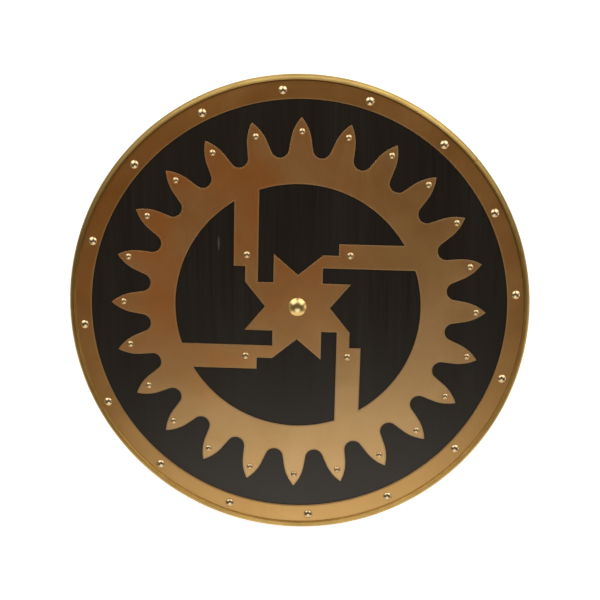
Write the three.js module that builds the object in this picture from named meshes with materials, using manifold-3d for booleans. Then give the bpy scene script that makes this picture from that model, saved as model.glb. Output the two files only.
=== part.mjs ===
// A round shield lying on its back with its face up: a black board in a brass rim, a cut brass sun wheel
// nailed over the face, a domed boss, and two leather straps behind.
// Millimetres, +Z up. The origin is on the ground under the middle of the rim, and +Y is the shield's top.
import * as THREE from "three";
import { mergeVertices } from "three/addons/utils/BufferGeometryUtils.js";
import Module from "manifold-3d";

// Whole shield
const shieldDiameter = 590;
const boardThickness = 12;
const sheetThickness = 1.2; // brass of the rim and of the sun wheel
const clearance = 0.3; // kept between pieces that touch
const roundSteps = 64; // flats round the board and the rim

// Rim: a flat band on the face, a rolled bead along the edge, a wall, and a flange behind the board
const rimWidth = 29.4; // from the outer edge to the band's inner edge
const beadRadius = 3.8;
const beadRise = 3; // the bead's crest above the band
const flangeWidth = 13;
const rimNailCount = 16;
const rimNailTurn = 3.6; // degrees that the first nail stands left of the top

// Sun wheel, from its outside inwards
const wheelRight = -0.39; // the wheel's middle from the rim's middle
const wheelUp = 2.4;
const wheelTurn = -1.52; // degrees, as it was nailed on
const rayGap = 25.6; // from the band to the ray tips
const rayCount = 24;
const rayLength = 48.9;
const rayTipLength = 27; // the pointed part of a ray
const rayLean = 9.3; // degrees that a ray's straight side leans to its axis
const valleyRadius = 11.4; // round bottom between two rays
const ringWidth = 33.7;
const starReach = 67.8; // from the middle to the line through two star points
const starHalfSpan = 31.4; // half the distance between two star points
const starNotchDepth = 26;
const linkWidth = 16.4; // neck between the star and an arm
const armWidth = 31.2;
const rayNailInset = 15.6; // a ray's nail from its tip
const strapRivetInset = 1.1; // a strap rivet from the middle of its arm
const armStrapUp = 0.2; // the arm strap and its two rivets stand above the wheel's middle
const handStrapUp = 2.4; // and so do the hand strap and its two

// Nails, rivets and boss
const rimNail = { head: 11.2, rise: 2.2, shank: 2.2, length: 10 };
const rayNail = { head: 8, rise: 1.6, shank: 1.8, length: 9 };
const bossNail = { head: 24, rise: 4.8, shank: 5, length: 11 };
const rivetBackHead = 9;
const rivetBackRise = 1.4;
const bossUp = 0.6; // the boss stands above the wheel's middle
const nailSides = 8;
const nailPoint = 2; // taper at a nail's end
const holeSides = 6;

// The nails were driven by eye. Each pair is how far a head stands from its mark, clockwise and then
// outwards, going clockwise from the top.
const rimNailMisses = [
  [0, -0.4], [1, 0], [-0.4, 0.4], [-1.8, 0.1], [-2.2, 1.5], [0, 1.5], [2.7, -0.4], [4.6, 0.8],
  [4.7, 0.9], [1.7, 1.5], [-1.4, 1.4], [-1.9, 2.6], [-3.4, 1.1], [-1.9, -0.3], [2.7, -0.4], [3, -1.8],
];
const rayNailMisses = [
  [1, -1.8], [1.3, -0.3], [0.7, 1.6], [0.2, 2.7], [0.7, 4], [0, 1], [0, 3.6], [-0.8, 2.3],
  [-0.7, -0.4], [-0.5, 0], [-0.4, -0.7], [0.5, -0.9], [-0.4, 0], [0.2, -0.7], [1.6, -1.3], [1.9, -0.8],
  [1.2, -3.5], [2.9, -1.6], [1.2, 0], [1.1, 1.5], [0.3, -0.6], [0.6, -1.5], [0.9, -1.3], [0.7, -2],
];

// Straps: each is riveted flat at both ends, and its middle lies on the ground
const strapThickness = 4;
const gripGap = 30; // clear height between a strap's middle and the board
const strapEnd = 15; // flat leather on each side of a rivet
const strapBend = 12; // bend radius at the middle of the leather
const strapSlope = 60; // degrees
const armStrapWidth = 40;
const handStrapWidth = 30;

// Worked out from the sizes above
const outerRadius = shieldDiameter / 2;
const bandInnerRadius = outerRadius - rimWidth;
const boardRadius = outerRadius - sheetThickness - clearance;
const boardBack = strapThickness + gripGap;
const boardFace = boardBack + boardThickness;
const sheetBottom = boardFace + clearance;
const sheetTop = sheetBottom + sheetThickness;
const headSeat = sheetTop + clearance;
const tipRadius = bandInnerRadius - rayGap;
const valleyBottom = tipRadius - rayLength;
const wheelHoleRadius = valleyBottom - ringWidth;
const armInner = starReach - linkWidth;
const armOuter = armInner + armWidth;
const strapRivetOut = (armInner + armOuter) / 2 - strapRivetInset;
const bandMiddleRadius = outerRadius - (rimWidth + 2 * beadRadius) / 2;

const wasm = await Module();
wasm.setup();

const radians = THREE.MathUtils.degToRad;
const point = (x, y) => new THREE.Vector2(x, y);
const polar = (radius, angle) => point(radius * Math.cos(angle), radius * Math.sin(angle));

// Points along an arc, both ends included.
function arcPoints(centre, radius, from, to, steps) {
  return Array.from({ length: steps + 1 }, (_, i) =>
    polar(radius, from + ((to - from) * i) / steps).add(centre),
  );
}

function solidOf(geometry) {
  const plain = geometry.clone();
  plain.deleteAttribute("normal");
  plain.deleteAttribute("uv");
  const merged = mergeVertices(plain);
  return new wasm.Manifold(
    new wasm.Mesh({
      numProp: 3,
      vertProperties: merged.attributes.position.array,
      triVerts: new Uint32Array(merged.index.array),
    }),
  );
}

function geometryOf(solid) {
  const mesh = solid.getMesh();
  const geometry = new THREE.BufferGeometry();
  geometry.setAttribute("position", new THREE.BufferAttribute(mesh.vertProperties, 3));
  geometry.setIndex(new THREE.BufferAttribute(mesh.triVerts, 1));
  geometry.computeVertexNormals();
  return geometry;
}

// A solid turned about the vertical, from points of radius and height.
function turned(profile, steps) {
  return new THREE.LatheGeometry(profile, steps).rotateX(Math.PI / 2);
}

// Cuts an upright hole, wide enough for the shank and its clearance, at each place.
function drilled(geometry, places, shank, bottom, top) {
  const radius = (shank / 2 + clearance) / Math.cos(Math.PI / holeSides);
  let solid = solidOf(geometry);
  for (const place of places) {
    const hole = new THREE.CylinderGeometry(radius, radius, top - bottom, holeSides).rotateX(Math.PI / 2);
    hole.translate(place.x, place.y, (top + bottom) / 2);
    solid = solid.subtract(solidOf(hole));
  }
  return geometryOf(solid);
}

// The dome of a head that sits at height 0, from its rim to its crown.
function domePoints(head, rise, steps) {
  const sphere = (head * head / 4 + rise * rise) / (2 * rise);
  const low = Math.asin((sphere - rise) / sphere);
  const dome = arcPoints(point(0, rise - sphere), sphere, low, Math.PI / 2, steps);
  dome[steps].x = 0;
  return dome;
}

function nailGeometry(nail, sides, domeSteps) {
  const shank = nail.shank / 2;
  const profile = [
    point(0, -nail.length),
    point(shank, nailPoint - nail.length),
    point(shank, 0),
    ...domePoints(nail.head, nail.rise, domeSteps),
  ];
  return turned(profile, sides);
}

// A rivet that passes through everything down to a strap's end, where it is spread into a flat head.
function rivetGeometry(through) {
  const shank = rayNail.shank / 2;
  const backHead = rivetBackHead / 2;
  const profile = [
    point(0, -through - rivetBackRise),
    point(backHead, -through - rivetBackRise),
    point(backHead, -through),
    point(shank, -through),
    point(shank, 0),
    ...domePoints(rayNail.head, rayNail.rise, 2),
  ];
  return turned(profile, nailSides);
}

// The rim's section: one sheet of even thickness, rolled into a bead and folded round the board's edge.
function rimGeometry() {
  const beadCentre = point(outerRadius - beadRadius, sheetTop + beadRise - beadRadius);
  const underRadius = beadRadius - sheetThickness;
  const outerStart = Math.PI - Math.asin((sheetTop - beadCentre.y) / beadRadius);
  const underStart = Math.PI - Math.asin((sheetBottom - beadCentre.y) / underRadius);
  const flangeInner = outerRadius - flangeWidth;
  const flangeTop = boardBack - clearance;
  const profile = [
    point(flangeInner, flangeTop),
    point(flangeInner, flangeTop - sheetThickness),
    point(outerRadius, flangeTop - sheetThickness),
    ...arcPoints(beadCentre, beadRadius, 0, outerStart, 4),
    point(bandInnerRadius, sheetTop),
    point(bandInnerRadius, sheetBottom),
    ...arcPoints(beadCentre, underRadius, underStart, 0, 3),
    point(outerRadius - sheetThickness, flangeTop),
    point(flangeInner, flangeTop),
  ];
  return turned(profile, roundSteps);
}

// One ray with its axis along the angle, and the valley after it, going counter-clockwise.
function rayPoints(axisAngle) {
  const lean = radians(rayLean);
  const pitch = (2 * Math.PI) / rayCount;
  const valleyCentre = polar(valleyBottom + valleyRadius, pitch / 2);
  const sideStart = valleyCentre.clone().add(polar(valleyRadius, -Math.PI / 2 - lean));
  const shoulderAlong = tipRadius - rayTipLength;
  const shoulderOut = sideStart.y - (shoulderAlong - sideStart.x) * Math.tan(lean);
  // the point's curve leaves the straight side smoothly and ends at the tip
  const shoulder = point(shoulderAlong, -shoulderOut);
  const inward = polar(1, lean + Math.PI / 2);
  const chord = point(tipRadius, 0).sub(shoulder);
  const curve = chord.lengthSq() / (2 * chord.dot(inward));
  const curveCentre = shoulder.clone().add(inward.multiplyScalar(curve));
  const curveStart = shoulder.clone().sub(curveCentre).angle();
  const curveEnd = point(tipRadius, 0).sub(curveCentre).angle();
  const right = arcPoints(curveCentre, curve, curveStart, curveEnd, 3);
  const left = right.slice(0, -1).reverse().map((p) => point(p.x, -p.y));
  const valleyTurn = Math.PI / 2 + lean;
  const valley = arcPoints(valleyCentre, valleyRadius, 2 * Math.PI - valleyTurn, pitch + valleyTurn, 5);
  return [...right, ...left, ...valley].map((p) => p.rotateAround(point(0, 0), axisAngle));
}

// One of the four openings between the ring, two arms and the star.
function openingPoints(turn) {
  const armTop = Math.acos(-armInner / wheelHoleRadius);
  const armEnd = Math.asin(armOuter / wheelHoleRadius);
  const outline = [
    point(-armInner, starHalfSpan),
    point(-starHalfSpan, starHalfSpan),
    point(-starHalfSpan, starReach),
    point(0, starReach - starNotchDepth),
    point(starHalfSpan, starReach),
    point(armInner, starReach),
    point(armInner, armOuter),
    ...arcPoints(point(0, 0), wheelHoleRadius, armEnd, armTop, 10),
  ];
  return outline.map((p) => p.rotateAround(point(0, 0), turn));
}

function sunWheelGeometry() {
  const pitch = (2 * Math.PI) / rayCount;
  const rays = Array.from({ length: rayCount }, (_, i) => rayPoints(Math.PI / 2 + i * pitch));
  const shape = new THREE.Shape(rays.flat());
  for (let quarter = 0; quarter < 4; quarter++) {
    shape.holes.push(new THREE.Path(openingPoints((quarter * Math.PI) / 2)));
  }
  const sheet = new THREE.ExtrudeGeometry(shape, { depth: sheetThickness, bevelEnabled: false });
  return sheet.translate(0, 0, sheetBottom);
}

// The middle line of half a strap seen from the side, from the ground outwards, with its direction.
function halfStrapLine() {
  const slope = radians(strapSlope);
  const top = boardBack - clearance - strapThickness / 2;
  const bottom = strapThickness / 2;
  const straightRise = top - bottom - 2 * strapBend * (1 - Math.cos(slope));
  const run = 2 * strapBend * Math.sin(slope) + straightRise / Math.tan(slope);
  const bendStart = strapRivetOut - strapEnd - run;
  const line = [];
  const bendSteps = 4;
  for (let i = 0; i <= bendSteps; i++) {
    const turn = (slope * i) / bendSteps;
    const along = bendStart + strapBend * Math.sin(turn);
    line.push({ at: point(along, bottom + strapBend * (1 - Math.cos(turn))), turn });
  }
  for (let i = bendSteps; i >= 0; i--) {
    const turn = (slope * i) / bendSteps;
    const along = bendStart + run - strapBend * Math.sin(turn);
    line.push({ at: point(along, top - strapBend * (1 - Math.cos(turn))), turn });
  }
  line.push({ at: point(strapRivetOut + strapEnd, top), turn: 0 });
  return line;
}

function strapGeometry(width) {
  const half = halfStrapLine();
  const mirrored = half.map(({ at, turn }) => ({ at: point(-at.x, at.y), turn: -turn })).reverse();
  const line = [...mirrored, ...half];
  const side = (offset) => line.map(({ at, turn }) => polar(offset, turn + Math.PI / 2).add(at));
  const outline = [...side(-strapThickness / 2), ...side(strapThickness / 2).reverse()];
  const leather = new THREE.ExtrudeGeometry(new THREE.Shape(outline), { depth: width, bevelEnabled: false });
  leather.translate(0, 0, -width / 2);
  const upright = new THREE.Matrix4().makeBasis(
    new THREE.Vector3(0, 1, 0),
    new THREE.Vector3(0, 0, 1),
    new THREE.Vector3(1, 0, 0),
  );
  return leather.applyMatrix4(upright);
}

// Places of nails and rivets. The wheel's are measured from its own middle.
const around = (count, radius, start, misses = [[0, 0]]) =>
  Array.from({ length: count }, (_, i) => {
    const [clockwise, outward] = misses[i % misses.length];
    return polar(radius + outward, start - (i * 2 * Math.PI) / count - clockwise / radius);
  });
const rimNailStart = Math.PI / 2 + radians(rimNailTurn);
const rimNailPlaces = around(rimNailCount, bandMiddleRadius, rimNailStart, rimNailMisses);
const rayNailPlaces = around(rayCount, tipRadius - rayNailInset, Math.PI / 2, rayNailMisses);
const strapRivetPlaces = around(4, strapRivetOut * Math.SQRT2, (Math.PI * 3) / 4).map((p) =>
  p.add(point(0, p.x < 0 ? armStrapUp : handStrapUp)),
);
const bossPlace = point(0, bossUp);

const blackStain = { color: 0x1d1613, roughness: 0.75, metalness: 0 };
const satinBrass = { color: 0x96683a, roughness: 0.42, metalness: 1 };
const polishedBrass = { color: 0xd9bd7a, roughness: 0.16, metalness: 1 };
const brownLeather = { color: 0x4a2c1a, roughness: 0.7, metalness: 0 };

const shield = new THREE.Group();
const wheel = new THREE.Group(); // what is placed by the sun wheel, which was nailed on a little turned
wheel.position.set(wheelRight, wheelUp, 0);
wheel.rotation.z = radians(wheelTurn);
shield.add(wheel);

function addPiece(parent, name, geometry, finish, x = 0, y = 0, z = 0) {
  const piece = new THREE.Mesh(geometry, new THREE.MeshStandardMaterial(finish));
  piece.name = name;
  piece.position.set(x, y, z);
  parent.add(piece);
}

function addBoard() {
  wheel.updateMatrixWorld(true);
  const onBoard = (places) =>
    places.map((p) => wheel.localToWorld(new THREE.Vector3(p.x, p.y, 0)));
  const above = sheetTop;
  const depth = (nail) => headSeat - nail.length - clearance;
  const disc = new THREE.CylinderGeometry(boardRadius, boardRadius, boardThickness, roundSteps);
  let board = disc.rotateX(Math.PI / 2).translate(0, 0, (boardBack + boardFace) / 2);
  board = drilled(board, rimNailPlaces, rimNail.shank, depth(rimNail), above);
  board = drilled(board, onBoard(rayNailPlaces), rayNail.shank, depth(rayNail), above);
  board = drilled(board, onBoard([bossPlace]), bossNail.shank, depth(bossNail), above);
  board = drilled(board, onBoard(strapRivetPlaces), rayNail.shank, 0, above);
  addPiece(shield, "board", board, blackStain);
}

function addRim() {
  const rim = drilled(rimGeometry(), rimNailPlaces, rimNail.shank, boardFace, headSeat);
  addPiece(shield, "rim", rim, satinBrass);
}

function addSunWheel() {
  let sheet = drilled(sunWheelGeometry(), rayNailPlaces, rayNail.shank, boardFace, headSeat);
  sheet = drilled(sheet, strapRivetPlaces, rayNail.shank, boardFace, headSeat);
  sheet = drilled(sheet, [bossPlace], bossNail.shank, boardFace, headSeat);
  addPiece(wheel, "sun_wheel", sheet, satinBrass);
}

function addNails() {
  const addRow = (parent, name, nail, places) =>
    places.forEach((p, i) => {
      const numbered = name + "_" + String(i + 1).padStart(2, "0");
      addPiece(parent, numbered, nailGeometry(nail, nailSides, 2), polishedBrass, p.x, p.y, headSeat);
    });
  addRow(shield, "rim_nail", rimNail, rimNailPlaces);
  addRow(wheel, "ray_nail", rayNail, rayNailPlaces);
  const dome = nailGeometry(bossNail, 3 * nailSides, 5);
  addPiece(wheel, "boss", dome, polishedBrass, bossPlace.x, bossPlace.y, headSeat);
}

function addStraps() {
  const through = headSeat - boardBack + strapThickness + 2 * clearance;
  strapRivetPlaces.forEach((p, i) => {
    addPiece(wheel, "strap_rivet_" + (i + 1), rivetGeometry(through), polishedBrass, p.x, p.y, headSeat);
  });
  const ends = [point(0, strapRivetOut), point(0, -strapRivetOut)];
  const addStrap = (name, width, right, up) => {
    const strap = drilled(strapGeometry(width), ends, rayNail.shank, 0, boardFace);
    addPiece(wheel, name, strap, brownLeather, right, up);
  };
  addStrap("arm_strap", armStrapWidth, -strapRivetOut, armStrapUp);
  addStrap("hand_strap", handStrapWidth, strapRivetOut, handStrapUp);
}

addBoard();
addRim();
addSunWheel();
addNails();
addStraps();

export default shield;
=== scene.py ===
# Round shield with a brass sun wheel, lying face up. Everything is in metres, in the frame's own axes.
import math
import random

import bpy
from mathutils import Matrix, Vector
from mathutils.geometry import tessellate_polygon


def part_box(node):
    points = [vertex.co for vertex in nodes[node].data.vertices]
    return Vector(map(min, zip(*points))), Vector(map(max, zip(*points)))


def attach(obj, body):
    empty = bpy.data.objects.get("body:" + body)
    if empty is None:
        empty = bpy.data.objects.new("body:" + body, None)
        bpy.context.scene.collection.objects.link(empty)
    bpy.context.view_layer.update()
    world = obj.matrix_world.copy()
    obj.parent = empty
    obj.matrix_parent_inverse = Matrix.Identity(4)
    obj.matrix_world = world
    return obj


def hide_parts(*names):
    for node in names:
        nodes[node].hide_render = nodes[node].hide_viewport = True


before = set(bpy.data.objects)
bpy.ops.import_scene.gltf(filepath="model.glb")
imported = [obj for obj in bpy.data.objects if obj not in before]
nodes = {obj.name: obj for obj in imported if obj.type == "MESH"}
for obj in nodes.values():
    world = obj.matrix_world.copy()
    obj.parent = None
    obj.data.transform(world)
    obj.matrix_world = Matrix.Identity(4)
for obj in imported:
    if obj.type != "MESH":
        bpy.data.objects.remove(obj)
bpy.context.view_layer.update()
mm = 0.001
rng = random.Random(24)

# heights and centres that come from the frame
wheelLow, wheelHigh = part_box("sun_wheel")
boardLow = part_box("board")[0]
rimLow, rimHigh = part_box("rim")
sheetTop = wheelHigh.z
sheetBottom = wheelLow.z
wheelMiddle = Vector(((wheelLow.x + wheelHigh.x) / 2, (wheelLow.y + wheelHigh.y) / 2, sheetTop))
outerRadius = rimHigh.x
print("frame loaded, shield", round(2 * outerRadius, 3), "m across")


# Camera, at the photograph's angle
cameraLook = {
    "distance": 1.3123,
    "tilt": 10.57,  # degrees off straight down
    "tiltTowards": 13.22,  # degrees right of the shield's top
    "lens": 61.39,
    "shift": (0.00438, 0.01217),
}


def makeCamera(look):
    data = bpy.data.cameras.new("camera")
    data.lens = look["lens"]
    data.sensor_width = 36
    data.shift_x, data.shift_y = look["shift"]
    data.clip_start = 0.01
    data.clip_end = 50
    towards = math.radians(look["tiltTowards"])
    axis = Vector((math.cos(towards), -math.sin(towards), 0))
    turn = Matrix.Rotation(-math.radians(look["tilt"]), 4, axis)
    cam = bpy.data.objects.new("camera", data)
    bpy.context.scene.collection.objects.link(cam)
    cam.matrix_world = Matrix.Translation(wheelMiddle + turn @ Vector((0, 0, look["distance"]))) @ turn
    bpy.context.scene.camera = cam


makeCamera(cameraLook)


# Material helpers. Every colour and size is read in object space, which is metres here.
def newMaterial(name):
    mat = bpy.data.materials.new(name)
    mat.use_nodes = True
    tree = mat.node_tree
    place = tree.nodes.new("ShaderNodeTexCoord").outputs["Object"]
    return mat, tree, tree.nodes["Principled BSDF"], place


def addMapping(tree, vector, scale, turn=0):
    node = tree.nodes.new("ShaderNodeMapping")
    node.inputs["Scale"].default_value = scale
    node.inputs["Rotation"].default_value = (0, 0, turn)
    tree.links.new(vector, node.inputs["Vector"])
    return node.outputs["Vector"]


def addNoise(tree, vector, scale, detail=3, rough=0.5, distortion=0):
    node = tree.nodes.new("ShaderNodeTexNoise")
    node.inputs["Scale"].default_value = scale
    node.inputs["Detail"].default_value = detail
    node.inputs["Roughness"].default_value = rough
    node.inputs["Distortion"].default_value = distortion
    tree.links.new(vector, node.inputs["Vector"])
    return node.outputs["Fac"]


def addRamp(tree, value, stops):
    node = tree.nodes.new("ShaderNodeValToRGB")
    ramp = node.color_ramp
    while len(ramp.elements) < len(stops):
        ramp.elements.new(0.5)
    for element, (spot, color) in zip(ramp.elements, stops):
        element.position = spot
        element.color = (*color, 1)
    tree.links.new(value, node.inputs["Fac"])
    return node.outputs["Color"]


def addRange(tree, value, fromLow, fromHigh, toLow, toHigh):
    node = tree.nodes.new("ShaderNodeMapRange")
    sockets = ("From Min", "From Max", "To Min", "To Max")
    for socket, number in zip(sockets, (fromLow, fromHigh, toLow, toHigh)):
        node.inputs[socket].default_value = number
    tree.links.new(value, node.inputs["Value"])
    return node.outputs["Result"]


def addMath(tree, kind, a, b):
    node = tree.nodes.new("ShaderNodeMath")
    node.operation = kind
    for socket, value in zip(node.inputs, (a, b)):
        if isinstance(value, (int, float)):
            socket.default_value = value
        else:
            tree.links.new(value, socket)
    return node.outputs["Value"]


def addMix(tree, share, a, b, kind="MIX"):
    node = tree.nodes.new("ShaderNodeMix")
    node.data_type = "RGBA"
    node.blend_type = kind
    sockets = (node.inputs["Factor"], node.inputs["A"], node.inputs["B"])
    for socket, value in zip(sockets, (share, a, b)):
        if isinstance(value, (int, float)):
            socket.default_value = value
        elif isinstance(value, tuple):
            socket.default_value = (*value, 1)
        else:
            tree.links.new(value, socket)
    return node.outputs["Result"]


def addPatch(tree, place, middle, half, most):
    # a soft ellipse on the face, seen from above
    separate = tree.nodes.new("ShaderNodeSeparateXYZ")
    tree.links.new(place, separate.inputs["Vector"])
    squares = []
    for axis, centre, size in zip("XY", middle, half):
        away = addMath(tree, "SUBTRACT", separate.outputs[axis], centre)
        squares.append(addMath(tree, "POWER", addMath(tree, "DIVIDE", away, size), 2))
    return addRange(tree, addMath(tree, "ADD", *squares), 0, 1, most, 0)


def addBump(tree, shader, height, distance):
    node = tree.nodes.new("ShaderNodeBump")
    node.inputs["Distance"].default_value = distance
    node.inputs["Strength"].default_value = 1
    tree.links.new(height, node.inputs["Height"])
    tree.links.new(node.outputs["Normal"], shader.inputs["Normal"])


# Studio: a bright floor, a dim warm room with paler walls, soft boxes high and low past the shield's
# foot, two past its top and a small one low at its right
studio = {
    "floorSize": 60,
    "floorDrop": 0.0003,  # so that the straps don't share the floor's plane
    "floorColor": (0.9, 0.9, 0.9),
    "floorGlow": (0.7, 0.73, 0.77),
    "floorRough": 0.9,
    "floorGloss": 0.1,
    "roomColor": (0.098, 0.0535, 0.0235),
    "wallColor": (0.38, 0.28, 0.17),
    "wallTop": (14, 40),  # degrees above the floor between which the walls fade into the ceiling
    "middle": (0, 0, 0.05),
    "away": 2.2,
    "boxes": {
        # azimuth is clockwise from the shield's top and height above the floor, in degrees
        "footBox": dict(azimuth=180, height=53, size=(1.4, 1.15), glow=1.22, color=(0.92, 0.97, 1)),
        "footWall": dict(azimuth=180, height=19, size=(4.2, 1.4), glow=0.67, color=(1, 0.81, 0.6)),
        "leftBox": dict(azimuth=-38, height=38, size=(1.9, 1.55), glow=1.65, color=(1, 0.97, 0.88)),
        "rightBox": dict(azimuth=39, height=38, size=(2, 1.55), glow=1.65, color=(1, 0.97, 0.88)),
        "sideBox": dict(azimuth=98, height=20, size=(1.0, 0.9), glow=0.8, color=(1, 0.88, 0.72)),
    },
}


def makeStudio(look):
    size = look["floorSize"] / 2
    floorMesh = bpy.data.meshes.new("floor")
    corners = ((-size, -size), (size, -size), (size, size), (-size, size))
    floorMesh.from_pydata([(x, y, -look["floorDrop"]) for x, y in corners], [], [(0, 1, 2, 3)])
    floor = bpy.data.objects.new("floor", floorMesh)
    bpy.context.scene.collection.objects.link(floor)
    floorMat = bpy.data.materials.new("paleFloor")
    floorMat.use_nodes = True
    shader = floorMat.node_tree.nodes["Principled BSDF"]
    shader.inputs["Base Color"].default_value = (*look["floorColor"], 1)
    shader.inputs["Roughness"].default_value = look["floorRough"]
    shader.inputs["Specular IOR Level"].default_value = look["floorGloss"]
    shader.inputs["Emission Color"].default_value = (*look["floorGlow"], 1)
    shader.inputs["Emission Strength"].default_value = 1
    floorMesh.materials.append(floorMat)

    world = bpy.data.worlds.new("room")
    world.use_nodes = True
    tree = world.node_tree
    place = tree.nodes.new("ShaderNodeTexCoord").outputs["Generated"]
    separate = tree.nodes.new("ShaderNodeSeparateXYZ")
    tree.links.new(place, separate.inputs["Vector"])
    heights = [math.sin(math.radians(degrees)) for degrees in look["wallTop"]]
    fade = list(zip(heights, (look["wallColor"], look["roomColor"])))
    wall = addRamp(tree, separate.outputs["Z"], fade)
    tree.links.new(wall, tree.nodes["Background"].inputs["Color"])
    bpy.context.scene.world = world

    for name, box in look["boxes"].items():
        data = bpy.data.lights.new(name, "AREA")
        data.shape = "RECTANGLE"
        data.size, data.size_y = box["size"]
        data.energy = box["glow"] * math.pi * data.size * data.size_y
        data.color = box["color"]
        azimuth = math.radians(box["azimuth"])
        height = math.radians(box["height"])
        level = math.cos(height)
        way = Vector((math.sin(azimuth) * level, math.cos(azimuth) * level, math.sin(height)))
        lamp = bpy.data.objects.new(name, data)
        lamp.location = Vector(look["middle"]) + way * look["away"]
        lamp.rotation_euler = way.to_track_quat("Z", "Y").to_euler()
        bpy.context.scene.collection.objects.link(lamp)

    bpy.context.scene.view_settings.view_transform = "Standard"


makeStudio(studio)
print("camera and studio ready")


# Black-stained wood: fine upright grain, a few faint pale streaks and one short paler streak
blackWood = {
    "dark": (0.003, 0.0042, 0.0044),
    "light": (0.0078, 0.0098, 0.0098),
    "grainScale": (420, 9, 60),
    "broadScale": (38, 1.6, 10),
    "grainShare": 0.55,  # of the fine grain, the rest is the broad streaks
    "rough": (0.28, 0.36),
    "gloss": (0.97, 0.85, 0.74),
    "glossLevel": 0.76,
    "grainDepth": 0.00003,
    "paleStreakAt": (-0.1004, 0.0846),
    "paleStreakHalf": (0.0015, 0.011),
    "paleStreakColor": (0.1, 0.1, 0.1),
    "paleStreakShare": 0.8,
}


def makeBlackWood(look):
    mat, tree, shader, place = newMaterial("blackStainedWood")
    grain = addNoise(tree, addMapping(tree, place, look["grainScale"]), 1, 4, 0.6)
    broad = addNoise(tree, addMapping(tree, place, look["broadScale"]), 1, 3, 0.55, 0.4)
    fine = addMath(tree, "MULTIPLY", grain, look["grainShare"])
    mixed = addMath(tree, "ADD", fine, addMath(tree, "MULTIPLY", broad, 1 - look["grainShare"]))
    color = addRamp(tree, mixed, [(0.34, look["dark"]), (0.66, look["light"])])
    # one short paler streak mixed into the colour
    paleStreak = addPatch(tree, place, look["paleStreakAt"], look["paleStreakHalf"], look["paleStreakShare"])
    tree.links.new(addMix(tree, paleStreak, color, look["paleStreakColor"]), shader.inputs["Base Color"])
    tree.links.new(addRange(tree, mixed, 0.3, 0.7, *look["rough"]), shader.inputs["Roughness"])
    shader.inputs["Specular Tint"].default_value = (*look["gloss"], 1)
    shader.inputs["Specular IOR Level"].default_value = look["glossLevel"]
    addBump(tree, shader, grain, look["grainDepth"])
    return mat


def addCreaseShade(tree, color, grime):
    # painted shade: darkens the colour by the mesh's crease value, which is 1 at the bottom of the rim's
    # crease, and other meshes have none
    crease = tree.nodes.new("ShaderNodeAttribute")
    crease.attribute_name = "crease"
    return addMix(tree, crease.outputs["Fac"], color, grime)


# Satin sheet brass, browned unevenly and redder in blotches, with painted warm light that gathers the
# redness at the left and above, fine rubbing marks, a slightly wavy surface and a duller cut edge. The
# mesh's cutEdge value is 1 along a cut and fades out over the next few millimetres.
def makeSatinBrass(name, look):
    mat, tree, shader, place = newMaterial(name)
    clouds = addNoise(tree, place, look["cloudScale"], 4, 0.6, 0.6)
    specks = addNoise(tree, place, look["speckScale"], 3, 0.7)
    rubbed = addNoise(tree, addMapping(tree, place, look["rubScale"], look["rubTurn"]), 1, 3, 0.6)
    base = addRamp(tree, clouds, [(0.3, look["brown"]), (0.7, look["tan"])])
    blotches = addRange(tree, addNoise(tree, place, look["blotchScale"], 2, 0.5, 0.3), 0.36, 0.64, 0.35, 1)
    # painted warm light: the redder tone is kept to a patch at the left and above
    warmLightPatch = addPatch(tree, place, look["warmLightAt"], look["warmLightHalf"], look["warmLightShare"])
    base = addMix(tree, addMath(tree, "MULTIPLY", warmLightPatch, blotches), base, look["redTone"])
    speckled = addRange(tree, specks, 0.3, 0.7, *look["speckles"])
    shade = tree.nodes.new("ShaderNodeCombineColor")
    for socket in shade.inputs:
        tree.links.new(speckled, socket)
    edge = tree.nodes.new("ShaderNodeAttribute")
    edge.attribute_name = "cutEdge"
    plain = addMix(tree, 1.0, base, shade.outputs["Color"], "MULTIPLY")
    edgeShare = addRange(tree, edge.outputs["Fac"], 0, 1, 0, look["edgeShare"])
    toned = addMix(tree, edgeShare, plain, look["edge"])
    # painted shade in the rim's crease goes into the colour
    tree.links.new(addCreaseShade(tree, toned, look["grime"]), shader.inputs["Base Color"])
    rough = addRange(tree, addMath(tree, "ADD", rubbed, clouds), 0.7, 1.3, *look["rough"])
    edgeRough = addMath(tree, "MULTIPLY", edge.outputs["Fac"], look["edgeRough"])
    tree.links.new(addMath(tree, "ADD", rough, edgeRough), shader.inputs["Roughness"])
    shader.inputs["Metallic"].default_value = 1
    wavy = addNoise(tree, place, look["waveScale"], 1, 0.4)
    waves = addMath(tree, "MULTIPLY", wavy, look["waveDepth"])
    rubs = addMath(tree, "MULTIPLY", rubbed, look["rubDepth"])
    addBump(tree, shader, addMath(tree, "ADD", waves, rubs), 1)
    return mat


sheetBrass = {
    "brown": (0.78, 0.48, 0.195),
    "tan": (0.88, 0.58, 0.265),
    "cloudScale": 9,
    "redTone": (0.91, 0.385, 0.11),  # redder blotches of the sheet's own tone, gathered at the left and above by painted warm light
    "blotchScale": 15,
    "warmLightAt": (-0.12, 0.1),
    "warmLightHalf": (0.26, 0.245),
    "warmLightShare": 0.9,
    "speckScale": 900,
    "speckles": (0.94, 1.05),
    "rubScale": (700, 60, 60),
    "rubTurn": 0.6,
    "rough": (0.31, 0.36),
    "waveScale": 14,
    "waveDepth": 0.00012,
    "rubDepth": 0.000006,
    "edge": (0.4, 0.31, 0.19),
    "edgeShare": 0.5,
    "edgeRough": 0.1,
    # colour of the painted shade in the rim's crease
    "grime": (0.13, 0.065, 0.025),
}
rimBrass = dict(
    sheetBrass,
    brown=(0.66, 0.375, 0.125),
    tan=(0.79, 0.475, 0.175),
    redTone=(0.72, 0.335, 0.085),
    rubTurn=-0.4,
)


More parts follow.
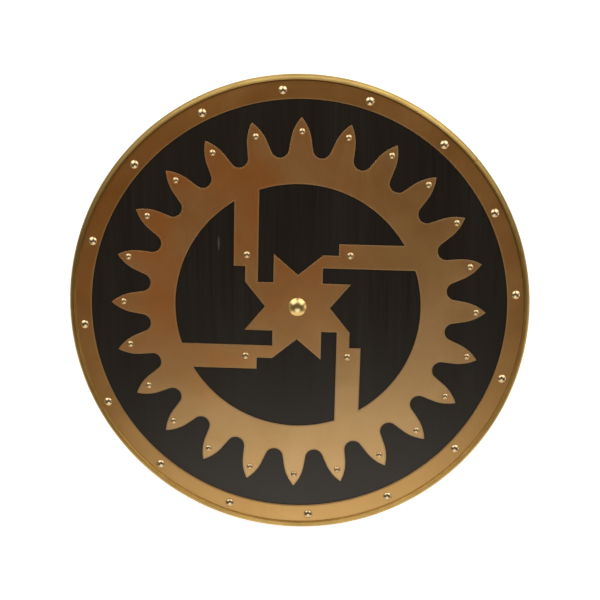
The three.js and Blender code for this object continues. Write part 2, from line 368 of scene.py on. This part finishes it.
# Polished yellow brass of the heads, the boss and the bead
def makePolishedBrass(name, look):
    mat, tree, shader, place = newMaterial(name)
    clouds = addNoise(tree, place, look["cloudScale"], 3, 0.6)
    hairlines = addNoise(tree, addMapping(tree, place, look["hairScale"], 0.5), 1, 2, 0.7)
    base = addRamp(tree, clouds, [(0.3, look["deep"]), (0.65, look["pale"])])
    # painted shade of the rim's crease and bead, by the crease value
    tree.links.new(addCreaseShade(tree, base, look["grime"]), shader.inputs["Base Color"])
    tree.links.new(addRange(tree, hairlines, 0.3, 0.7, *look["rough"]), shader.inputs["Roughness"])
    shader.inputs["Metallic"].default_value = 1
    addBump(tree, shader, hairlines, look["hairDepth"])
    return mat


headBrass = {
    "deep": (0.74, 0.61, 0.38),
    "pale": (0.86, 0.76, 0.54),
    "cloudScale": 260,
    "hairScale": (2600, 300, 300),
    "rough": (0.2, 0.28),
    "hairDepth": 0.000002,
    "grime": (0.13, 0.065, 0.025),
}
rayHeadBrass = dict(headBrass, deep=(0.64, 0.5, 0.29), pale=(0.8, 0.67, 0.44), rough=(0.25, 0.32))
bossBrass = dict(
    headBrass,
    deep=(0.82, 0.67, 0.29),
    pale=(0.93, 0.8, 0.44),
    cloudScale=120,
    rough=(0.25, 0.3),
)
beadBrass = dict(
    headBrass,
    deep=(0.53, 0.38, 0.13),
    pale=(0.67, 0.495, 0.185),
    grime=(0.14, 0.088, 0.028),
    cloudScale=30,
    hairScale=(60, 60, 700),
    rough=(0.36, 0.42),
    hairDepth=0.0000003,
)


# Dark brown strap leather with a fine pebbled grain
leather = {
    "dark": (0.032, 0.014, 0.007),
    "light": (0.085, 0.038, 0.018),
    "edge": (0.014, 0.007, 0.004),
    "pebbleScale": 900,
    "pebbleDepth": 0.00014,
    "creaseScale": (60, 420, 60),
    "creaseShare": 0.8,
    "cloudScale": 70,
    "rough": (0.45, 0.65),
}


def makeLeather(name, look, isEdge):
    mat, tree, shader, place = newMaterial(name)
    pebbles = tree.nodes.new("ShaderNodeTexVoronoi")
    pebbles.inputs["Scale"].default_value = look["pebbleScale"]
    tree.links.new(place, pebbles.inputs["Vector"])
    clouds = addNoise(tree, place, look["cloudScale"], 4, 0.6)
    creases = addNoise(tree, addMapping(tree, place, look["creaseScale"]), 1, 3, 0.6)
    light = look["dark"] if isEdge else look["light"]
    dark = look["edge"] if isEdge else look["dark"]
    tree.links.new(addRamp(tree, clouds, [(0.3, dark), (0.7, light)]), shader.inputs["Base Color"])
    tree.links.new(addRange(tree, creases, 0.3, 0.7, *look["rough"]), shader.inputs["Roughness"])
    creased = addMath(tree, "MULTIPLY", creases, look["creaseShare"])
    addBump(tree, shader, addMath(tree, "ADD", pebbles.outputs["Distance"], creased), look["pebbleDepth"])
    return mat


materials = {
    "blackWood": makeBlackWood(blackWood),
    "wheel": makeSatinBrass("wheelBrass", sheetBrass),
    "rim": makeSatinBrass("rimBrass", rimBrass),
    "heads": makePolishedBrass("nailHeadBrass", headBrass),
    "rayHeads": makePolishedBrass("rayHeadBrass", rayHeadBrass),
    "boss": makePolishedBrass("bossBrass", bossBrass),
    "bead": makePolishedBrass("beadBrass", beadBrass),
    "leather": makeLeather("strapLeather", leather, False),
    "leatherEdge": makeLeather("strapLeatherEdge", leather, True),
}
print("materials ready")


# Mesh helpers
def makeObject(name, verts, faces, mats):
    mesh = bpy.data.meshes.new(name)
    mesh.from_pydata(verts, [], faces)
    for mat in mats:
        mesh.materials.append(mat)
    mesh.polygons.foreach_set("use_smooth", [True] * len(mesh.polygons))
    obj = bpy.data.objects.new(name, mesh)
    bpy.context.scene.collection.objects.link(obj)
    return obj


def paintShares(piece, name, shares):
    # one value for each vertex, which the material reads by this name
    layer = piece.data.attributes.new(name, "FLOAT", "POINT")
    layer.data.foreach_set("value", shares)


def standFor(obj, node):
    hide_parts(node)
    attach(obj, "root")


def arc(centre, radius, start, end, steps):
    # points round a centre, angles in radians, both ends included
    turns = [start + (end - start) * i / steps for i in range(steps + 1)]
    return [(centre[0] + radius * math.cos(a), centre[1] + radius * math.sin(a)) for a in turns]


def spin(profile, angles):
    # turns a closed section of (radius, height), or one that starts and ends on the axis, into a solid
    onAxis = profile[0][0] == 0
    verts, faces, rings = [], [], []
    count = len(angles)
    for radius, height in profile:
        if radius == 0:
            rings.append([len(verts)] * count)
            verts.append((0, 0, height))
            continue
        rings.append(list(range(len(verts), len(verts) + count)))
        verts.extend((radius * math.cos(a), radius * math.sin(a), height) for a in angles)
    last = len(profile) - 1 if onAxis else len(profile)
    for i in range(last):
        low, high = rings[i], rings[(i + 1) % len(profile)]
        for j in range(count):
            k = (j + 1) % count
            corner = [low[j], low[k], high[k], high[j]]
            faces.append([v for n, v in enumerate(corner) if v not in corner[:n]])
    return verts, faces


def evenAngles(steps):
    return [2 * math.pi * i / steps for i in range(steps)]


# Nails, rivets and the boss: turned heads, each leaning a little as it was hammered
headLook = {
    "steps": 40,
    "domeSteps": 12,
    "lip": 0.28 * mm,  # rounded lower edge of a head
    "point": 2 * mm,
    "backHead": 4.5 * mm,
    "backRise": 1.4 * mm,
}
bossLook = dict(headLook, steps=96, domeSteps=32, lip=0.5 * mm)
headGap = 0.3 * mm  # between a head and the sheet
shankRadius = {"rim_nail": 1.1 * mm, "ray_nail": 0.9 * mm, "strap_rivet": 0.9 * mm, "boss": 2.5 * mm}
mostLean = {"rim_nail": 2.2, "ray_nail": 2.4, "strap_rivet": 0, "boss": 0}  # degrees


def domeProfile(radius, rise, look):
    sphere = (radius**2 + rise**2) / (2 * rise)
    low = math.asin((sphere - rise) / sphere)
    lip = look["lip"]
    edge = [(radius - lip, 0), (radius - 0.3 * lip, 0.25 * lip), (radius, lip)]
    dome = arc((0, rise - sphere), sphere, low, math.pi / 2, look["domeSteps"])
    return edge + [point for point in dome[:-1] if point[1] > 1.6 * lip] + [(0, rise)]


def headSize(node):
    # middle, head radius, seat height, rise and length below the seat, all from the node's own box
    low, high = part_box(node)
    seat = sheetTop + headGap
    middle = Vector(((low.x + high.x) / 2, (low.y + high.y) / 2, seat))
    return middle, (high.x - low.x) / 2, high.z - seat, seat - low.z


def makeHead(node, look, mat):
    kind = node.rstrip("0123456789_") if node != "boss" else node
    middle, radius, rise, depth = headSize(node)
    shank = shankRadius[kind]
    if kind == "strap_rivet":
        back, lip, top = look["backHead"], look["lip"], look["backRise"] - depth
        foot = [(0, -depth), (back - lip, -depth), (back, lip - depth)]
        foot += [(back, top), (shank, top), (shank, 0)]
    else:
        foot = [(0, -depth), (shank, look["point"] - depth), (shank, 0)]
    verts, faces = spin(foot + domeProfile(radius, rise, look), evenAngles(look["steps"]))
    piece = makeObject(node + "_turned", verts, faces, [mat])
    lean = math.radians(mostLean[kind]) * math.sqrt(rng.random())
    way = rng.uniform(0, 2 * math.pi)
    tip = Matrix.Rotation(lean, 4, Vector((math.cos(way), math.sin(way), 0)))
    piece.data.transform(Matrix.Translation(middle) @ tip)
    standFor(piece, node)


headNodes = [n for n in nodes if n.startswith(("rim_nail", "ray_nail", "strap_rivet"))]
for node in sorted(headNodes):
    makeHead(node, headLook, materials["heads" if node.startswith("rim") else "rayHeads"])
makeHead("boss", bossLook, materials["boss"])
print("heads made:", len(headNodes) + 1)


# Rim: one sheet, with a flat band, a rolled bead, a wall and a flange behind the board
rim = {
    "sheet": 1.2 * mm,
    "width": 29.4 * mm,
    "beadWidth": 7.4 * mm,
    "beadDrop": 3.8 * mm,  # from the crest down to where the wall starts
    "crestRound": 0.8 * mm,
    "crestSlope": 18,  # degrees, of the bead's outer side right beside its crest
    "crease": 0.5 * mm,  # how far the bead's inner side leans out from its foot
    "creaseFillet": (0.3 * mm, 0.25 * mm),  # inwards and up
    "beadRadius": 3.8 * mm,  # of the roll's inside, hidden under the bead
    "flange": 13 * mm,
    "round": 0.3 * mm,
    "edgeBand": 2.4 * mm,  # how far the cut edge's colour reaches
    "steps": 360,
    "wander": 1.35 * mm,  # the band's inner edge is not quite round
    "wanderPeak": 69,  # degrees clockwise from the top, where the band is narrowest
    "joints": (49.8, -25.0),  # butt joints of the bead, degrees clockwise from the top
    "jointHalf": 0.35 * mm,
    "jointDepth": 0.5 * mm,
    "jointDrop": 0.3 * mm,
    "grimeShares": (0.1, 0.25, 0.5, 0.8, 1, 1),  # painted shade, from the bead's crest down into the crease
    "grimeAt": 5,  # degrees clockwise from the top, where the painted shade in the crease is darkest
    "grimeLeast": 0.15,
    "grimeFade": 0.7,
    "grimeReach": 1.4 * mm,  # over the band, from the bead's foot, where the painted shade fades out
    "beadShade": ((305, 50, 0.7), (68, 36, 0.6)),  # stretches of painted shade on the bead: middle, half width, share
}


def rimProfile(look):
    # the section as (radius, height, cutEdge), and the first and last point of the bead
    r, low = look["round"], rimLow.z
    inner = outerRadius - look["width"]
    flangeInner = outerRadius - look["flange"]
    flangeTop = low + look["sheet"]
    crest = rimHigh.z
    foot = outerRadius - look["beadWidth"]
    crestStart = foot + look["crease"] + look["crestRound"]
    reach = outerRadius - crestStart
    wallTop = crest - look["beadDrop"]
    outside = [(flangeInner, flangeTop - r, 1), (flangeInner, low + r, 1), (flangeInner + r, low, 0.6)]
    outside += [(x, z, 0) for x, z in arc((outerRadius - 3 * r, low + 3 * r), 3 * r, -math.pi / 2, 0, 5)]
    beadStart = len(outside)
    full = math.radians(90 - look["crestSlope"])
    for i in range(25):
        turn = full * i / 24
        along = (math.cos(turn) - math.cos(full)) / (1 - math.cos(full))
        up = look["beadDrop"] * math.sin(turn) / math.sin(full)
        outside.append((crestStart + reach * along, wallTop + up, 0))
    middle = (crestStart, crest - look["crestRound"])
    outside += [(x, z, 0) for x, z in arc(middle, look["crestRound"], math.pi / 2, math.pi, 6)[1:]]
    beadEnd = len(outside)
    inwards, up = look["creaseFillet"]
    outside += [(foot, sheetTop + up, 0), (foot - inwards, sheetTop, 0)]
    outside += [(foot - look["grimeReach"], sheetTop, 0), (inner + look["edgeBand"], sheetTop, 0)]
    outside += [(inner + r, sheetTop, 1), (inner, sheetTop - r, 1)]
    under = look["beadRadius"] - look["sheet"]
    underMiddle = (outerRadius - look["beadRadius"], crest - look["beadRadius"])
    underEnd = math.pi - math.asin((sheetBottom - underMiddle[1]) / under)
    inside = [(inner, sheetBottom + r), (inner + r, sheetBottom)]
    inside += arc(underMiddle, under, underEnd, 0, 10)
    inside += [(outerRadius - look["sheet"], flangeTop), (flangeInner + r, flangeTop)]
    return outside + [(x, z, 1 if x < inner + 2 * r else 0) for x, z in inside], beadStart, beadEnd


def rimAngles(look):
    # even steps, and five close ones at each joint
    turns = evenAngles(look["steps"])
    spread = look["jointHalf"] / outerRadius
    for degrees in look["joints"]:
        middle = math.radians(90 - degrees) % (2 * math.pi)
        turns = [a for a in turns if abs(a - middle) > 2.5 * spread]
        turns += [middle + k * spread for k in (-1.6, -0.8, 0, 0.8, 1.6)]
    return sorted(turns)


def beadShadeAt(degrees, stretches):
    # painted shade on the bead at an angle, from the stretches
    share = 0
    for middle, half, most in stretches:
        away = abs((degrees - middle + 180) % 360 - 180)
        share = max(share, most * math.cos(math.pi / 2 * min(1, away / half)))
    return share


def makeRim(look):
    profile, beadStart, beadEnd = rimProfile(look)
    angles = rimAngles(look)
    verts, faces = spin([p[:2] for p in profile], angles)
    count = len(angles)
    joints = [math.radians(90 - degrees) % (2 * math.pi) for degrees in look["joints"]]
    peak = math.radians(90 - look["wanderPeak"])
    inner = outerRadius - look["width"]
    dip = look["jointDepth"] / outerRadius
    for ring, (radius, height, share) in enumerate(profile):
        for index, angle in enumerate(angles):
            x, y, z = verts[ring * count + index]
            if radius < inner + look["edgeBand"] + 0.1 * mm:
                shift = look["wander"] * math.cos(2 * (angle - peak)) / radius
                x, y = x * (1 + shift), y * (1 + shift)
            atJoint = any(abs(angle - joint) < look["jointHalf"] / outerRadius for joint in joints)
            if atJoint and beadStart <= ring < beadEnd:  # the bead dips there
                x, y = x * (1 - dip), y * (1 - dip)
                z -= look["jointDrop"]
            verts[ring * count + index] = (x, y, z)
    piece = makeObject("rim_sheet", verts, faces, [materials["rim"], materials["bead"]])
    for poly in piece.data.polygons:
        if beadStart - 6 <= poly.index // count < beadEnd + 1:
            poly.material_index = 1
    paintShares(piece, "cutEdge", [share for radius, height, share in profile for angle in angles])
    # painted shade in the crease, darkest near the top and fading round towards the bottom
    shadedRings = dict(zip(range(beadEnd - 4, beadEnd + 2), look["grimeShares"]))
    worst = math.radians(90 - look["grimeAt"])
    least, fade = look["grimeLeast"], look["grimeFade"]
    uneven = [least + (1 - least) * max(0, math.cos(a - worst)) ** fade for a in angles]
    # painted shade over a few stretches of the bead, carried in the same crease value
    beadShade = [beadShadeAt(90 - math.degrees(a), look["beadShade"]) for a in angles]
    crease = []
    for ring in range(len(profile)):
        shadeHere = beadShade if beadStart <= ring < beadEnd else [0] * count
        crease += [max(shadedRings.get(ring, 0) * u, d) for u, d in zip(uneven, shadeHere)]
    paintShares(piece, "crease", crease)
    piece.modifiers.new("weighted", "WEIGHTED_NORMAL")
    standFor(piece, "rim")


makeRim(rim)
print("rim made")


# Sun wheel: one cut sheet with rounded edges. Its sizes are those of the cut, in metres.
sunWheel = {
    "turn": -1.52,  # degrees
    "tipRadius": 240 * mm,
    "rays": 24,
    "rayLength": 48.9 * mm,
    "rayTip": 27 * mm,
    "rayLean": 9.3,  # degrees
    "valley": 11.4 * mm,
    "ring": 33.7 * mm,
    "starReach": 67.8 * mm,
    "starHalfSpan": 31.4 * mm,
    "starNotch": 26 * mm,
    "link": 16.4 * mm,
    "arm": 31.2 * mm,
    "edge": 0.25 * mm,
    "edgeBand": 2.4 * mm,  # how far the cut edge's colour reaches
    "valleySteps": 18,
    "curveSteps": 9,
    "holeSteps": 60,
}


def turned(points, angle):
    c, s = math.cos(angle), math.sin(angle)
    return [(x * c - y * s, x * s + y * c) for x, y in points]


def rayOutline(look):
    # one ray along +X and the valley after it, counter-clockwise
    lean = math.radians(look["rayLean"])
    pitch = 2 * math.pi / look["rays"]
    far = look["tipRadius"] - look["rayLength"] + look["valley"]
    valleyMiddle = (far * math.cos(pitch / 2), far * math.sin(pitch / 2))
    curl = look["valley"]
    sideStart = (valleyMiddle[0] - curl * math.sin(lean), valleyMiddle[1] - curl * math.cos(lean))
    shoulderAlong = look["tipRadius"] - look["rayTip"]
    shoulderOut = sideStart[1] - (shoulderAlong - sideStart[0]) * math.tan(lean)
    shoulder = Vector((shoulderAlong, -shoulderOut))
    tip = Vector((look["tipRadius"], 0))
    inward = Vector((-math.sin(lean), math.cos(lean)))
    chord = tip - shoulder
    curve = chord.length_squared / (2 * chord.dot(inward))
    middle = shoulder + inward * curve
    start = math.atan2(shoulder.y - middle.y, shoulder.x - middle.x)
    end = math.atan2(tip.y - middle.y, tip.x - middle.x)
    right = arc(middle, curve, start, end, look["curveSteps"])
    left = [(x, -y) for x, y in reversed(right[:-1])]
    swing = math.pi / 2 + lean
    valley = arc(valleyMiddle, look["valley"], 2 * math.pi - swing, pitch + swing, look["valleySteps"])
    return right + left + valley


def openingOutline(look):
    hole = look["tipRadius"] - look["rayLength"] - look["ring"]
    inner = look["starReach"] - look["link"]
    outer = inner + look["arm"]
    half, reach = look["starHalfSpan"], look["starReach"]
    corners = [(-inner, half), (-half, half), (-half, reach), (0, reach - look["starNotch"])]
    corners += [(half, reach), (inner, reach), (inner, outer)]
    start, end = math.asin(outer / hole), math.acos(-inner / hole)
    return corners + arc((0, 0), hole, start, end, look["holeSteps"])


def insetLoop(points, inset):
    # moves an outline to its left by an even distance
    moved = []
    for i, here in enumerate(points):
        before, after = points[i - 1], points[(i + 1) % len(points)]
        first = (Vector(here) - Vector(before)).normalized()
        second = (Vector(after) - Vector(here)).normalized()
        left = Vector((-first.y - second.y, first.x + second.x))
        moved.append(tuple(Vector(here) + left * inset / (1 + first.dot(second))))
    return moved


def cleanLoop(points):
    # drops a point that repeats the one before it
    return [p for i, p in enumerate(points) if (Vector(p) - Vector(points[i - 1])).length > 1e-6]


def makeSunWheel(look):
    turn = math.radians(look["turn"])
    ray = rayOutline(look)
    pitch = 2 * math.pi / look["rays"]
    loops = [[p for i in range(look["rays"]) for p in turned(ray, math.pi / 2 + i * pitch)]]
    opening = openingOutline(look)
    loops += [turned(opening, i * math.pi / 2) for i in range(4)]
    loops = [turned(cleanLoop(loop), turn) for loop in loops]
    for loop in loops[1:]:
        loop.reverse()  # so that the metal is on the left of every outline
    edge = look["edge"]
    levels = [(edge, sheetBottom, 1), (0, sheetBottom + edge, 1), (0, sheetTop - edge, 1)]
    levels += [(edge - x, sheetTop - edge + z, 1) for x, z in arc((0, 0), edge, 0, math.pi / 2, 3)[1:]]
    levels += [(look["edgeBand"], sheetTop, 0)]
    verts, faces, shares, caps = [], [], [], []
    for loop in loops:
        count = len(loop)
        start = len(verts)
        for inset, height, share in levels:
            verts += [(x, y, height) for x, y in insetLoop(loop, inset)]
            shares += [share] * count
        for level in range(len(levels) - 1):
            row = start + level * count
            for j in range(count):
                k = (j + 1) % count
                faces.append((row + j, row + k, row + count + k, row + count + j))
        caps.append((start, start + (len(levels) - 1) * count, count))
    for side in (0, 1):
        rims = [list(range(cap[side], cap[side] + cap[2])) for cap in caps]
        order = [v for loop in rims for v in loop]
        flat = tessellate_polygon([[Vector(verts[v]) for v in loop] for loop in rims])
        for corners in flat:
            face = [order[c] for c in corners]
            a, b, c = (Vector(verts[v]) for v in face)
            if ((b - a).cross(c - a).z > 0) != (side == 1):
                face.reverse()
            faces.append(tuple(face))
    piece = makeObject("sun_wheel_sheet", verts, faces, [materials["wheel"]])
    paintShares(piece, "cutEdge", shares)
    piece.data.transform(Matrix.Translation((wheelMiddle.x, wheelMiddle.y, 0)))
    piece.modifiers.new("weighted", "WEIGHTED_NORMAL")
    standFor(piece, "sun_wheel")


makeSunWheel(sunWheel)
print("sun wheel made")


# Board: the frame's own disc, in black-stained wood
boardMesh = nodes["board"].data
boardMesh.materials.clear()
boardMesh.materials.append(materials["blackWood"])
print("board finished")


# Straps: plain strips of leather, riveted flat at both ends and bowed between
strap = {
    "thickness": 4 * mm,
    "end": 15 * mm,
    "bend": 12 * mm,
    "slope": 60,  # degrees
    "corner": 1.1 * mm,
    "tongue": 9 * mm,  # rounding of the ends seen flat
    "tongueShare": 0.55,  # how much narrower the very end is
    "widths": {"arm_strap": 40 * mm, "hand_strap": 30 * mm},
}


def strapLine(look, top, rivetOut):
    # half of the middle line: (along, height, turn) from the ground run to the end
    slope = math.radians(look["slope"])
    bottom = look["thickness"] / 2
    bend = look["bend"]
    straight = top - bottom - 2 * bend * (1 - math.cos(slope))
    run = 2 * bend * math.sin(slope) + straight / math.tan(slope)
    start = rivetOut - look["end"] - run
    line = [(start * i / 6, bottom, 0) for i in range(6)]
    for i in range(11):
        turn = slope * i / 10
        line.append((start + bend * math.sin(turn), bottom + bend * (1 - math.cos(turn)), turn))
    first = line[-1]
    last = (start + run - bend * math.sin(slope), top - bend * (1 - math.cos(slope)), slope)
    line += [tuple(first[k] + (last[k] - first[k]) * i / 8 for k in range(3)) for i in range(1, 8)]
    for i in range(10, -1, -1):
        turn = slope * i / 10
        line.append((start + run - bend * math.sin(turn), top - bend * (1 - math.cos(turn)), turn))
    return line


def strapSection(look, width):
    # rounded strip section: (across, up), counter-clockwise
    corner = look["corner"]
    across, up = width / 2 - corner, look["thickness"] / 2 - corner
    section = []
    for cx, cz, start in ((across, up, 0), (-across, up, 90), (-across, -up, 180), (across, -up, 270)):
        section += arc((cx, cz), corner, math.radians(start), math.radians(start + 90), 4)
    return section


def makeStrap(node, look):
    rivets = [headSize("strap_rivet_%d" % i)[0] for i in (1, 2, 3, 4)]
    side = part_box(node)[0].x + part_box(node)[1].x
    ends = sorted((r for r in rivets if r.x * side > 0), key=lambda r: r.y)
    middle = (ends[0] + ends[1]) / 2
    rivetOut = (ends[1] - ends[0]).length / 2
    top = boardLow.z - headGap - look["thickness"] / 2
    half = strapLine(look, top, rivetOut)
    tongue = [math.sin(math.radians(9 * i)) for i in range(1, 11)]
    flat = rivetOut + look["end"] - look["tongue"]
    half += [(flat + look["tongue"] * t, top, 0) for t in tongue[:-1]]
    line = [(-a, z, -t) for a, z, t in reversed(half[1:])] + half
    section = strapSection(look, look["widths"][node])
    verts, faces = [], []
    count = len(section)
    for along, height, turn in line:
        past = max(0, (abs(along) - flat) / look["tongue"])
        narrow = 1 - look["tongueShare"] * (1 - math.sqrt(max(0, 1 - past**2)))
        for across, up in section:
            verts.append((across * narrow, along - up * math.sin(turn), height + up * math.cos(turn)))
    for i in range(len(line) - 1):
        for j in range(count):
            k = (j + 1) % count
            faces.append((i * count + j, (i + 1) * count + j, (i + 1) * count + k, i * count + k))
    faces.append(tuple(range(count)))
    faces.append(tuple(reversed(range((len(line) - 1) * count, len(line) * count))))
    piece = makeObject(node + "_leather", verts, faces, [materials["leather"], materials["leatherEdge"]])
    for poly in piece.data.polygons:
        ringPlace = poly.index % count
        if poly.index < (len(line) - 1) * count and ringPlace in (4, 9, 14, 19):
            continue
        poly.material_index = 1
    way = ends[1] - ends[0]
    lean = math.atan2(-way.x, way.y)
    piece.data.transform(Matrix.Translation((middle.x, middle.y, 0)) @ Matrix.Rotation(lean, 4, "Z"))
    standFor(piece, node)


for node in ("arm_strap", "hand_strap"):
    makeStrap(node, strap)
print("straps made")

print("scene ready")
